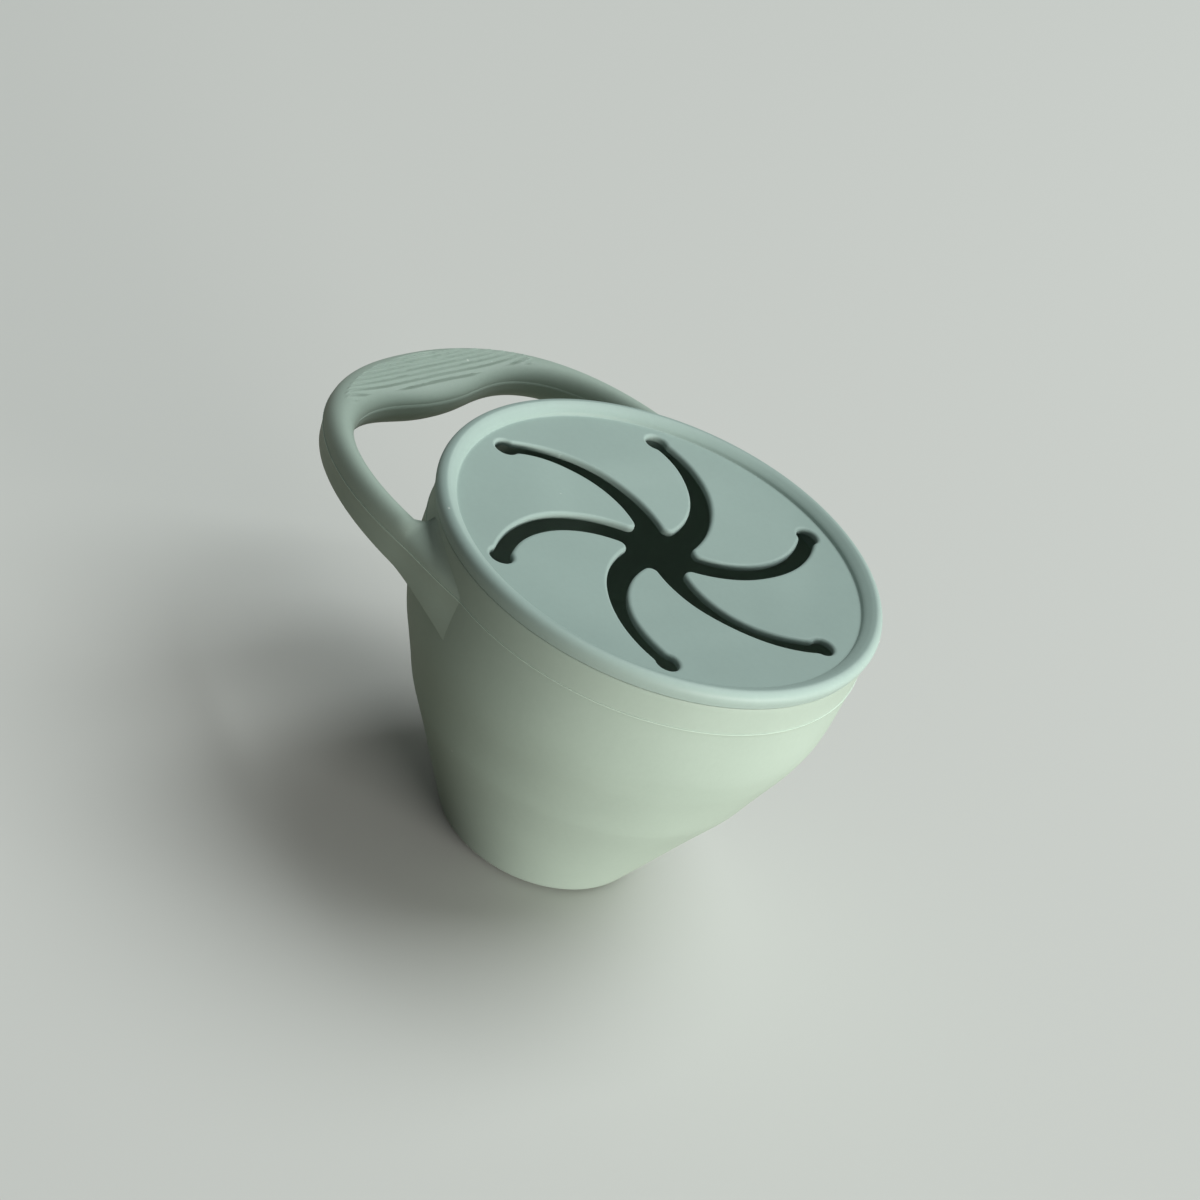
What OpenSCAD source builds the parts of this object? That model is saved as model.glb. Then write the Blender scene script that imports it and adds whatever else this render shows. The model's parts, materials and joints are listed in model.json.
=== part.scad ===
// Collapsible soft snack cup with a loop handle and a slit lid.
// Origin: centre of the base's flat underside, +Z up, the handle points to -X.

/* [Cup wall] */
// Outer radius of the wall at the rim
rim_r = 46.7; // [40:0.1:60]
// Height of the lid's flat panel above the floor
panel_z = 76; // [66:0.5:100]
// Thickness of the two stiff tiers
wall_t = 2; // [1.4:0.1:3]
// Thickness of the floor
base_t = 2.4; // [1.6:0.1:4]
// Radius of the edge between the floor and the wall
base_edge_r = 3.2; // [1:0.1:5]
// Draft of the upper tier near the rim, in degrees
rim_draft = 1.2; // [0:0.1:3]
// Flare of the upper tier above the fold, in degrees
shoulder_flare = 21.8; // [15:0.1:30]
// Softness of the bend between the flare and the rim
shoulder_soft = 1.7; // [0.5:0.1:4]

/* [Fold] */
// Height of the fold line above the floor
fold_z = 34.5; // [28:0.5:42]
// Outer radius at the fold line
fold_r = 39.6; // [34:0.1:46]
// Flare of the lower tier, in degrees
lower_flare = 26.3; // [15:0.1:32]
// Height of the thin band that turns inside out when the cup is pressed flat
band_h = 14; // [8:0.5:18]
// Thickness of that band
band_t = 1.3; // [0.8:0.1:2]

/* [Rim and lid fit] */
// Radius of the outer side of the lid's rolled bead
bead_r = 1.75; // [1.4:0.05:2.4]
// Height of that radius's middle above the lid's panel
bead_rise = 0.4; // [0:0.1:1]
// Width of the bead from its inner side to its outer side
bead_w = 4.2; // [3.8:0.1:5]
// Radius of the inner side of the bead
bead_in_r = 0.8; // [0.4:0.1:1.2]
// How far the bead stands out past the wall
bead_proud = 0.6; // [0.4:0.1:1.6]
// Thickness of the rim's tongue inside the bead
tongue_t = 1.8; // [1.2:0.1:2.4]
// Step from the wall's face in to the tongue
rim_step = 0.8; // [0.6:0.1:1.4]
// Height of the tongue's top above the lid's panel
tongue_rise = 0; // [0:0.1:0.6]
// Thickness of the lid's lip, below the bead and outside the tongue
lip_t = 0.9; // [0.6:0.1:1.4]
// Gap between the tongue and the lid's groove
lid_gap = 0.3; // [0.15:0.05:0.5]
// Height of the shoulder below the panel, where the bead ends
shoulder_drop = 1.7; // [1.2:0.1:4]
// Thickness of the lid's inner skirt
skirt_t = 1.4; // [1:0.1:2.4]
// Depth of the inner skirt below the panel's top
skirt_h = 5; // [4:0.5:9]
// Thickness of the panel and its petals
panel_t = 1.6; // [1:0.1:2.2]

/* [Slits and petals] */
// Distance from the panel's edge to the middle of the round hole that ends a slit
slit_margin = 4.2; // [3:0.1:8]
// Radius of the round hole that ends a slit
slit_bulb_r = 2.35; // [1:0.05:3]
// Width of a slit at the middle of its inner edge
slit_w = 3.9; // [3:0.1:5]
// Distance from the hub to the end of a slit's inner edge
slit_in_hub_r = 11; // [9:0.1:13]
// Distance from the hub to the end of a slit's outer edge
slit_out_hub_r = 10; // [8:0.1:12]
// Bow of a slit's inner edge, as a share of its length
slit_bow = 0.175; // [0.1:0.005:0.22]
// Where a petal's bend line leaves its slit, as an angle round the slit's outer edge
bend_start_a = 24.7; // [20:0.1:30]
// Radius of a petal's round tip
petal_tip_r = 1.75; // [1:0.05:2.5]
// Turn of the pattern from the handle, in degrees
pattern_turn = -15.5; // [-30:0.5:30]
// Sag of a petal below the panel, in degrees
petal_sag = 4.5; // [0:0.5:8]
// Gap round the rolled edge where a petal bends
bend_gap = 0.3; // [0.2:0.05:0.5]

/* [Handle] */
// How far the grip stands out from the wall
handle_out = 33; // [28:0.5:45]
// How far inside the wall's widest line the arms' outer sides lie
arm_side_in = 1.1; // [0.8:0.1:2]
// Length of the rounded end of the loop
handle_end_l = 52; // [44:0.5:56]
// Squareness of the rounded end
handle_square = 2.24; // [2:0.02:2.8]
// Drop of the mould line below the panel
mould_line_drop = 8.3; // [7.5:0.1:12]
// Width of an arm
arm_w = 5.4; // [4:0.1:8]
// Width of the grip at its middle
grip_w = 15.8; // [9:0.1:18]
// Height of the handle above the mould line
handle_top_h = 4; // [3:0.1:5]
// Depth of an arm below the mould line
arm_depth = 5.2; // [4:0.1:8]
// Depth of the grip below the mould line
grip_depth = 8.2; // [5:0.1:10]
// Extra depth where an arm meets the cup
root_depth = 4.5; // [0:0.1:6]
// Droop of the grip's end
handle_droop = 1.15; // [0:0.05:3]
// Distance between two grip ribs
rib_pitch = 1.37; // [1.1:0.01:2.5]
// Width of a grip rib
rib_w = 0.7; // [0.4:0.05:1]
// Height of a grip rib
rib_h = 0.3; // [0.1:0.05:0.6]

/* [Hidden] */
$fn = 96;
CUP_COLOR = [0.66, 0.71, 0.62];
LID_COLOR = [0.60, 0.68, 0.64];
HANDLE_COLOR = [0.58, 0.66, 0.61];
PETALS = 6;
PETAL_STEP = 360 / PETALS;
SLICE = 2;
EDGE_SLICE = 0.4;

// Heights and radii of the wall
band_z = fold_z - band_h;
shoulder_z = panel_z - shoulder_drop;
mould_z = panel_z - mould_line_drop;
tongue_out_r = outer_r(shoulder_z) - rim_step;
tongue_in_r = tongue_out_r - tongue_t;
tongue_top_z = panel_z + tongue_rise;
bead_mid_r = rim_r + bead_proud - bead_r;
bead_in_mid_r = rim_r + bead_proud - bead_w + bead_in_r;
groove_in_r = tongue_in_r - lid_gap;
groove_out_r = tongue_out_r + lid_gap;
skirt_in_r = groove_in_r - skirt_t;
lip_out_r = groove_out_r + lip_t;

// One slit, drawn with its end at +Y: two arcs from the hub and a round hole
SLIT_IN_HUB_A = 66;
SLIT_OUT_HUB_A = 34;
SLIT_IN_END_A = -68;
SLIT_OUT_END_A = 13;
SLIT_MOUTH = 1.14;
slit_bulb = [-slit_bulb_r / 2, skirt_in_r - slit_margin];
slit_in_end = slit_bulb + SLIT_MOUTH * slit_bulb_r * along(SLIT_IN_END_A);
slit_out_end = slit_bulb + SLIT_MOUTH * slit_bulb_r * along(SLIT_OUT_END_A);
slit_in_hub = slit_in_hub_r * along(SLIT_IN_HUB_A);
slit_out_hub = slit_out_hub_r * along(SLIT_OUT_HUB_A);
slit_in_bow = bowed(slit_in_end, slit_in_hub, slit_bow);
slit_in_mid = circle_middle(slit_in_end, slit_in_bow, slit_in_hub);
slit_in_arc_r = norm(slit_in_bow - slit_in_mid);
slit_out_bow = slit_in_mid + (slit_in_arc_r + slit_w) * (slit_in_bow - slit_in_mid) / slit_in_arc_r;
slit_out_mid = circle_middle(slit_out_end, slit_out_bow, slit_out_hub);
slit_out_arc_r = norm(slit_out_bow - slit_out_mid);

// The line that a petal bends about, from its slit's outer edge to the next slit's round hole
bend_from = slit_out_mid + slit_out_arc_r * along(bend_start_a);
bend_to = turned(slit_bulb - [0, slit_bulb_r], -PETAL_STEP);
bend_l = norm(bend_to - bend_from);
bend_a = atan2(bend_to.y - bend_from.y, bend_to.x - bend_from.x);
bend_z = panel_z - panel_t / 2;

// The handle's outline: u is 0 at the grip's middle, 1 where the arms turn straight and ARM_END inside the wall
handle_reach = outer_r(mould_z) + handle_out;
handle_half_w = outer_r(mould_z) - arm_side_in;
handle_mid_x = handle_reach - handle_end_l;
LOOP_STEP = 0.05;
ARM_END = 1.7;
ARM_END_X = 6.5;
ARM_EDGE = 0.4;
GRIP_SPREAD = 0.35;
GRIP_DEPTH_SPREAD = 0.3;
ROOT_FROM = 0.6;
ROOT_SPREAD = 0.9;
SECTION_TOP = 8;
SECTION_SIDE = 5;
RIB_INSET_OUT = 3.4;
RIB_INSET_IN = 1.6;
RIB_REACH = 0.42;
RIB_STEP = 0.04;

// Outer radius of the cup's wall at height z
function cone_r(z) = fold_r - (fold_z - z) * tan(lower_flare);
function flare_r(z) = fold_r + (z - fold_z) * tan(shoulder_flare);
function drafted_r(z) = rim_r - (panel_z - z) * tan(rim_draft);
function soft_min(a, b) = (a + b - sqrt((a - b) * (a - b) + shoulder_soft * shoulder_soft)) / 2;
function upper_r(z) = soft_min(flare_r(z), drafted_r(z));
function lower_r(z) = cone_r(z) + (upper_r(fold_z) - fold_r) * (z / fold_z);
function edge_cut(z) = z >= base_edge_r ? 0
    : base_edge_r - sqrt(base_edge_r * base_edge_r - (base_edge_r - z) * (base_edge_r - z));
function outer_r(z) = z >= fold_z ? upper_r(z) : lower_r(z) - edge_cut(z);

// Heights from z0 to z1 in even slices no thicker than t
function slices(z0, z1, t) = let (n = max(1, ceil((z1 - z0) / t))) [for (i = [0:n]) z0 + (z1 - z0) * i / n];
function reversed(v) = [for (i = [len(v) - 1:-1:0]) v[i]];
function wall_outline(z0, z1, t) = concat(
    [for (z = slices(z0, z1, SLICE)) [outer_r(z), z]],
    [for (z = reversed(slices(z0, z1, SLICE))) [outer_r(z) - t, z]]);

// Points in plan: one step at angle a, p turned about the hub, and the middle of an arc that bows to the left of p to q
function along(a) = [cos(a), sin(a)];
function turned(p, a) = [p.x * cos(a) - p.y * sin(a), p.x * sin(a) + p.y * cos(a)];
function bowed(p, q, bow) = (p + q) / 2 + bow * [p.y - q.y, q.x - p.x];

// Middle of the circle through three points
function circle_middle(a, b, c) = let (
    p = b - a,
    q = c - a,
    turn = 2 * (p.x * q.y - p.y * q.x))
    a + [q.y * (p * p) - p.y * (q * q), p.x * (q * q) - q.x * (p * p)] / turn;

// Where circles of radius ra round a and rb round b meet, on the hub's side
function circles_meet(a, ra, b, rb) = let (d = norm(b - a), e = (b - a) / d, x = (ra * ra - rb * rb + d * d) / (2 * d))
    a + x * e + sqrt(ra * ra - x * x) * [e.y, -e.x];

// Half of a superellipse, then straight arms
function arm_x(v) = max(0, v - 1) / (ARM_END - 1) * (handle_mid_x - ARM_END_X);
function loop_point(u) = let (a = min(abs(u), 1) * 90, k = 2 / handle_square)
    [arm_x(abs(u)) - handle_mid_x - handle_end_l * pow(cos(a), k), sign(u) * handle_half_w * pow(sin(a), k)];
function loop_ahead(u) = let (d = loop_point(u + 0.01) - loop_point(u - 0.01)) d / norm(d);
function loop_out(u) = let (d = loop_ahead(u)) [-d.y, d.x];
function bell(u, s) = exp(-(u / s) * (u / s));
function loop_w(u) = arm_w + (grip_w - arm_w) * bell(u, GRIP_SPREAD);
function root_share(u) = pow(max(0, abs(u) - ROOT_FROM) / ROOT_SPREAD, 2);
function loop_depth(u) = arm_depth + (grip_depth - arm_depth) * bell(u, GRIP_DEPTH_SPREAD)
    + root_depth * root_share(u);
function loop_z(u) = mould_z - handle_droop * pow(-loop_point(u).x / handle_reach, 2);
function loop_at(u, inset) = loop_point(u) - loop_out(u) * inset;

// One section of the handle: over the round top, down the inner side, along the bottom and up the flat outer side
function loop_section(u, raise) = let (w = loop_w(u), d = loop_depth(u), z = loop_z(u)) concat(
    [for (i = [0:SECTION_TOP]) let (a = i * 180 / SECTION_TOP) [w / 2 * (1 - cos(a)), (handle_top_h + raise) * sin(a)]],
    [for (i = [1:SECTION_SIDE]) let (a = i * 90 / SECTION_SIDE) [w / 2 * (1 + cos(a)), -d * sin(a)]],
    [[2 * ARM_EDGE, -d], [ARM_EDGE, -d + ARM_EDGE]]);
function loop_ring(u, raise) = [for (p = loop_section(u, raise)) let (q = loop_at(u, p.x)) [q.x, q.y, loop_z(u) + p.y]];

module revolve(points) {
    rotate_extrude()
        polygon(points);
}

// Everything inside the cup's outer wall, which trims the handle's ends
module wall_core() {
    revolve(concat([[0, 0]], [for (z = slices(0, panel_z, SLICE)) [outer_r(z), z]], [[0, panel_z]]));
}

module base() {
    color(CUP_COLOR)
        revolve(concat([[0, 0]], [for (z = slices(0, base_t, EDGE_SLICE)) [outer_r(z), z]], [[0, base_t]]));
}

module lower_wall() {
    color(CUP_COLOR)
        revolve(wall_outline(base_t, band_z, wall_t));
}

module fold_band() {
    color(CUP_COLOR)
        revolve(wall_outline(band_z, fold_z, band_t));
}

module upper_wall() {
    color(CUP_COLOR) {
        revolve(wall_outline(fold_z, shoulder_z, wall_t));
        rotate_extrude()
            translate([tongue_in_r, shoulder_z - tongue_t])
                square([tongue_t, tongue_top_z - shoulder_z + tongue_t]);
    }
}

module lid_rim() {
    color(LID_COLOR)
        rotate_extrude()
            difference() {
                union() {
                    hull() {
                        translate([bead_mid_r, panel_z + bead_rise])
                            circle(bead_r);
                        translate([bead_in_mid_r, panel_z])
                            circle(bead_in_r);
                    }
                    translate([skirt_in_r, panel_z - skirt_h])
                        square([bead_mid_r - skirt_in_r, skirt_h]);
                    translate([bead_mid_r, shoulder_z + lid_gap])
                        square([lip_out_r - bead_mid_r, panel_z - shoulder_z - lid_gap]);
                }
                translate([0, panel_z - skirt_h])
                    square([skirt_in_r, skirt_h + bead_r * 2]);
                translate([groove_in_r, 0])
                    square([groove_out_r - groove_in_r, tongue_top_z + lid_gap]);
            }
}

// The inner and outer arcs of a slit whose end is at +Y
module slit_in_disc() {
    translate(slit_in_mid)
        circle(slit_in_arc_r);
}

module slit_out_disc() {
    translate(slit_out_mid)
        circle(slit_out_arc_r);
}

module slit_end() {
    intersection() {
        difference() {
            slit_out_disc();
            slit_in_disc();
        }
        square([rim_r, rim_r]);
    }
    translate(slit_bulb)
        circle(slit_bulb_r);
}

// The panel's opening: six bend lines, six slit ends
module panel_opening() {
    side = [bend_from, bend_to, turned(slit_bulb, -PETAL_STEP)];
    polygon([for (k = [0:PETALS - 1], p = side) turned(p, -k * PETAL_STEP)]);
    for (k = [0:PETALS - 1])
        rotate(-k * PETAL_STEP)
            slit_end();
}

// A cylinder along a petal's bend line
module bend_bar(r, over) {
    translate([bend_from.x, bend_from.y, bend_z])
        rotate([0, 0, bend_a])
            rotate([0, 90, 0])
                translate([0, 0, -over])
                    cylinder(r = r, h = bend_l + 2 * over);
}

module lid_panel() {
    color(LID_COLOR)
        rotate([0, 0, pattern_turn])
            difference() {
                translate([0, 0, panel_z - panel_t])
                    linear_extrude(panel_t)
                        difference() {
                            circle(skirt_in_r);
                            panel_opening();
                        }
                for (k = [0:PETALS - 1])
                    rotate([0, 0, -k * PETAL_STEP])
                        bend_bar(panel_t / 2 + bend_gap, 1);
            }
}

// A petal's outline: inside one slit's inner arc, outside the other's outer arc, with a round tip
module petal_outline() {
    in_mid = turned(slit_in_mid, -PETAL_STEP);
    tip = circles_meet(slit_out_mid, slit_out_arc_r + petal_tip_r, in_mid, slit_in_arc_r - petal_tip_r);
    to_in = (tip - in_mid) / norm(tip - in_mid);
    to_out = (slit_out_mid - tip) / norm(slit_out_mid - tip);
    in_touch = tip + to_in * petal_tip_r;
    out_touch = tip + to_out * petal_tip_r;
    across = atan2(out_touch.y - in_touch.y, out_touch.x - in_touch.x);
    translate(tip)
        circle(petal_tip_r);
    difference() {
        translate(in_mid)
            circle(slit_in_arc_r);
        slit_out_disc();
        translate(in_touch)
            rotate(across)
                translate([-slit_in_arc_r, 0])
                    square(2 * slit_in_arc_r);
        translate(bend_from)
            rotate(bend_a)
                translate([-rim_r, 0])
                    square([3 * rim_r, rim_r]);
        rotate(-PETAL_STEP)
            translate(slit_bulb)
                circle(slit_bulb_r);
    }
}

module petal(k) {
    color(LID_COLOR)
        rotate([0, 0, pattern_turn - k * PETAL_STEP])
            translate([bend_from.x, bend_from.y, bend_z])
                rotate([0, 0, bend_a])
                    rotate([petal_sag, 0, 0])
                        rotate([0, 0, -bend_a])
                            translate([-bend_from.x, -bend_from.y, -bend_z]) {
                                translate([0, 0, bend_z - panel_t / 2])
                                    linear_extrude(panel_t)
                                        petal_outline();
                                bend_bar(panel_t / 2, -slit_bulb_r / 2);
                            }
}

// A closed sweep through rings of points, with flat ends
module sweep(rings) {
    m = len(rings[0]);
    n = len(rings);
    polyhedron(
        points = [for (ring = rings) each ring],
        faces = concat(
            [for (i = [0:n - 2], j = [0:m - 1]) let (k = (j + 1) % m) [i * m + j, (i + 1) * m + k, i * m + k]],
            [for (i = [0:n - 2], j = [0:m - 1]) let (k = (j + 1) % m) [i * m + j, (i + 1) * m + j, (i + 1) * m + k]],
            [[for (j = [0:m - 1]) j]],
            [[for (j = [m - 1:-1:0]) (n - 1) * m + j]]));
}

module loop(raise) {
    sweep([for (u = [-ARM_END:LOOP_STEP:ARM_END + LOOP_STEP / 2]) loop_ring(u, raise)]);
}

// The grip's ribs in plan: straight bars trimmed to the grip's flat top
module rib_bars() {
    reach = slices(-RIB_REACH, RIB_REACH, RIB_STEP);
    intersection() {
        polygon(concat(
            [for (u = reach) loop_at(u, RIB_INSET_OUT)],
            [for (u = reversed(reach)) loop_at(u, loop_w(u) - RIB_INSET_IN)]));
        for (x = [handle_reach - RIB_INSET_OUT:-rib_pitch:handle_reach - grip_w])
            translate([-x, -handle_half_w])
                square([rib_w, 2 * handle_half_w]);
    }
}

module handle() {
    color(HANDLE_COLOR)
        difference() {
            union() {
                loop(0);
                intersection() {
                    loop(rib_h);
                    translate([0, 0, mould_z])
                        linear_extrude(2 * handle_top_h)
                            rib_bars();
                }
            }
            wall_core();
        }
}

base();
lower_wall();
fold_band();
upper_wall();
handle();
lid_rim();
lid_panel();
petal(0);  // petal_1
petal(1);  // petal_2
petal(2);  // petal_3
petal(3);  // petal_4
petal(4);  // petal_5
petal(5);  // petal_6
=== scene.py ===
import json
import math

import bmesh
import bpy
from mathutils import Matrix, Vector

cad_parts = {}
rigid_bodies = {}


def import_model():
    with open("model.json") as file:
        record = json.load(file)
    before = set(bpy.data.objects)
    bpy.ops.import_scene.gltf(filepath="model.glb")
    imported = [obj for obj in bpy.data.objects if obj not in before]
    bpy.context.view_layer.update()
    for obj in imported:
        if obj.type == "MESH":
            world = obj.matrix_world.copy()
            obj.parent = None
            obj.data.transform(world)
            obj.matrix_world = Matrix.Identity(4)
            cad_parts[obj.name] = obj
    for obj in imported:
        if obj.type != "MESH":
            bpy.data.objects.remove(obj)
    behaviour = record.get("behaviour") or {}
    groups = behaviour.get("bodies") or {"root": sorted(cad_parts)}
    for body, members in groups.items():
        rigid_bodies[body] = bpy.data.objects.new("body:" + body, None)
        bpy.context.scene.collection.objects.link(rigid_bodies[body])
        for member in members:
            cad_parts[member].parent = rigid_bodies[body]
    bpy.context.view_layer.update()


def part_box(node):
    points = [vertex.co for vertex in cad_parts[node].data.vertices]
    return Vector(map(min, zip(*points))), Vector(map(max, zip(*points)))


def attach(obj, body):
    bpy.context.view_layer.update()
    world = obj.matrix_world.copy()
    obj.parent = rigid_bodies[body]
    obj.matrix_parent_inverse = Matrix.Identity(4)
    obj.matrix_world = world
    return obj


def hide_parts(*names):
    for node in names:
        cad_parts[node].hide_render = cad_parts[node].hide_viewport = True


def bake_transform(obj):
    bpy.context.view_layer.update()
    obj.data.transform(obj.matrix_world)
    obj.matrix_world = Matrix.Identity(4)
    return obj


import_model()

# A soft snack cup with a loop handle and a slit lid.
# Lengths below are in millimetres, turned into metres by MM.
MM = 0.001
PETALS = 6
PETAL_STEP = 360 / PETALS
SHOULDER_DROP = 1.7
MERGE_WITHIN = 0.002

# Heights and radii that the moulded pieces share with the solids
PANEL_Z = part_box("lid_panel")[1].z / MM
FOLD_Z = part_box("fold_band")[1].z / MM
BAND_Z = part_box("fold_band")[0].z / MM
FLOOR_TOP_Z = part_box("base")[1].z / MM
SHOULDER_Z = PANEL_Z - SHOULDER_DROP
BEAD_TOP_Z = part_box("lid_rim")[1].z / MM
BEAD_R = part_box("lid_rim")[1].y / MM


# ---------------------------------------------------------------- shared tools

def nothing_selected():
    """Leaves edit mode and deselects every object, the solids of the frame among them."""
    if bpy.context.object is not None and bpy.context.object.mode != "OBJECT":
        bpy.ops.object.mode_set(mode="OBJECT")
    bpy.ops.object.select_all(action="DESELECT")


def only(piece):
    """Makes one piece the selected and active one."""
    nothing_selected()
    piece.select_set(True)
    bpy.context.view_layer.objects.active = piece


def edit(piece):
    """Opens a piece for editing and gives its mesh."""
    only(piece)
    bpy.ops.object.mode_set(mode="EDIT")
    return bmesh.from_edit_mesh(piece.data)


def leave_edit():
    bpy.ops.object.mode_set(mode="OBJECT")


def named(name):
    """Names the active piece and its mesh, and puts its origin at the frame's origin."""
    piece = bpy.context.object
    piece.name = name
    piece.data.name = name
    bpy.ops.object.transform_apply(location=True, rotation=True, scale=True)
    return piece


def copy_of(piece, name):
    """A second piece with a mesh of its own."""
    twin = piece.copy()
    twin.data = piece.data.copy()
    twin.name = name
    twin.data.name = name
    bpy.context.scene.collection.objects.link(twin)
    return twin


def smooth(piece, angle):
    """Shades a piece smooth, apart from edges sharper than an angle in degrees."""
    only(piece)
    bpy.ops.object.shade_smooth_by_angle(angle=math.radians(angle))


def closed(piece):
    """Merges doubles and turns every face outwards."""
    edit(piece)
    bpy.ops.mesh.select_all(action="SELECT")
    bpy.ops.mesh.remove_doubles(threshold=MERGE_WITHIN * MM)
    bpy.ops.mesh.normals_make_consistent(inside=False)
    leave_edit()


def turned_piece(name, outline, steps):
    """An outline of (radius, height) points, drawn point by point and spun round the cup's axis."""
    nothing_selected()
    start = Vector((outline[0][0] * MM, 0, outline[0][1] * MM))
    bpy.ops.mesh.primitive_plane_add(size=MM, location=start)
    bpy.ops.object.mode_set(mode="EDIT")
    bpy.ops.mesh.merge(type="CENTER")
    for (r0, z0), (r1, z1) in zip(outline, outline[1:]):
        step = ((r1 - r0) * MM, 0, (z1 - z0) * MM)
        bpy.ops.mesh.extrude_region_move(TRANSFORM_OT_translate={"value": step})
    bpy.ops.mesh.select_all(action="SELECT")
    bpy.ops.mesh.spin(steps=steps, angle=2 * math.pi, center=(0, 0, 0), axis=(0, 0, 1))
    leave_edit()
    piece = named(name)
    closed(piece)
    return piece


def woven_piece(name, rows):
    """A grid primitive laid over rows of points in millimetres, with each row's ends brought together."""
    nothing_selected()
    across = len(rows[0]) + 1
    bpy.ops.mesh.primitive_grid_add(x_subdivisions=across - 1, y_subdivisions=len(rows) - 1, size=1)
    piece = named(name)
    for j, row in enumerate(rows):
        for i in range(across):
            piece.data.vertices[j * across + i].co = Vector(row[i % len(row)]) * MM
    return piece


def mark_line(piece, on_line):
    """Marks the vertices on the mould line's ridge, which the material paints paler: a painted highlight
    where the ridge catches the light.
    """
    marks = piece.data.attributes.new("mould_line_highlight", "FLOAT", "POINT")
    for v in piece.data.vertices:
        marks.data[v.index].value = 1.0 if on_line(v) else 0.0


def arc(middle, radius, a0, a1, count):
    """Points on an arc from angle a0 to a1, in degrees, in plan or in a section."""
    turns = [math.radians(a0 + (a1 - a0) * i / count) for i in range(count + 1)]
    return [(middle[0] + radius * math.cos(a), middle[1] + radius * math.sin(a)) for a in turns]


def soft_step(x):
    """From 0 to 1 as x does, easing in and out."""
    x = min(max(x, 0), 1)
    return x * x * (3 - 2 * x)


def between(points, x):
    """The smooth curve through (x, y) points, at x."""
    n = len(points)
    i = max(k for k in range(n - 1) if points[k][0] <= x or k == 0)
    (x0, y0), (x1, y1) = points[i], points[i + 1]
    before = points[max(i - 1, 0)]
    after = points[min(i + 2, n - 1)]
    m0 = (y1 - before[1]) / (x1 - before[0])
    m1 = (after[1] - y0) / (after[0] - x0)
    t = (x - x0) / (x1 - x0)
    d = x1 - x0
    return ((2 * t**3 - 3 * t**2 + 1) * y0 + (t**3 - 2 * t**2 + t) * d * m0
            + (3 * t**2 - 2 * t**3) * y1 + (t**3 - t**2) * d * m1)


def curve(points, steps):
    """A smooth line through the given points."""
    run = [points[0], *points, points[-1]]
    line = []
    for four in zip(run, run[1:], run[2:], run[3:]):
        for i in range(steps):
            t = i / steps
            line.append(tuple(0.5 * (2 * b + (c - a) * t + (2 * a - 5 * b + 4 * c - d) * t**2
                                     + (3 * b - a - 3 * c + d) * t**3) for a, b, c, d in zip(*four)))
    return line + [points[-1]]


# ---------------------------------------------------------------- cup

TURN_STEPS = 240
MOULD_LINE_DROP = 8.3
MOULD_LINE_Z = PANEL_Z - MOULD_LINE_DROP
MOULD_LINE_H = 0.16
MOULD_LINE_LOW = 0.3
MOULD_LINE_TOP = 0.1
WALL_T = 2.0
BAND_T = 1.3
CONE_TOP = 8
BASE_EDGE_R = 3.2
FLOOR_EDGE_R = 2.0
SHOULDER_EDGE_R = 0.3
TONGUE_STEP = 0.88
TONGUE_T = 1.8
TONGUE_OUT_EDGE_R = 0.6
TONGUE_IN_EDGE_R = 0.5
TONGUE_FOOT = 1.4
WALL_STEP = 1.0
BAND_STEP = 0.5
BAND_MARGIN = 1.0
THINS_OVER = 3.0
THICKENS_OVER = 2.5

# The wall's outer radius by height: a cone, the fold's slight waist, a bulge and the drafted rim
WALL = [(0, 22.55), (8, 26.5), (16, 30.45), (22, 33.4), (28, 36.5), (32, 38.5), (34.5, 39.5), (36.5, 40.2),
        (38.5, 40.95), (41, 41.9), (44, 43.05), (47, 44.2), (50, 45.1), (53, 45.8), (56, 46.15), (60, 46.35),
        (67, 46.5), (74, 46.65)]


def wall_r(z):
    """The wall's outer radius at a height."""
    return between(WALL, z)


def wall_thickness(z):
    """Two stiff tiers with a thin band between them that turns inside out."""
    into = soft_step((z - BAND_Z + THINS_OVER / 2) / THINS_OVER)
    out = soft_step((z - FOLD_Z + BAND_MARGIN) / THICKENS_OVER)
    return WALL_T - (WALL_T - BAND_T) * (into - out)


def rim_outline():
    """The rim above the shoulder: a step, the tongue that the lid grips, and its inner side."""
    out_r = wall_r(SHOULDER_Z)
    tongue_out = out_r - TONGUE_STEP
    tongue_in = tongue_out - TONGUE_T
    out_edge_z = PANEL_Z - TONGUE_OUT_EDGE_R
    outline = arc((out_r - SHOULDER_EDGE_R, SHOULDER_Z - SHOULDER_EDGE_R), SHOULDER_EDGE_R, 0, 90, 3)
    outline += [(tongue_out + 0.15, SHOULDER_Z), (tongue_out, SHOULDER_Z + 0.15), (tongue_out, out_edge_z)]
    outline += arc((tongue_out - TONGUE_OUT_EDGE_R, out_edge_z), TONGUE_OUT_EDGE_R, 20, 90, 4)
    outline += arc((tongue_in + TONGUE_IN_EDGE_R, PANEL_Z - TONGUE_IN_EDGE_R), TONGUE_IN_EDGE_R, 90, 180, 4)
    outline += [(tongue_in, SHOULDER_Z - TONGUE_FOOT), (tongue_in + 0.3, SHOULDER_Z - TONGUE_FOOT - 0.5)]
    return outline


def height_step(z):
    """The wall's points stand closer in the band that turns inside out."""
    return BAND_STEP if BAND_Z - BAND_MARGIN < z < FOLD_Z + BAND_MARGIN else WALL_STEP


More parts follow.
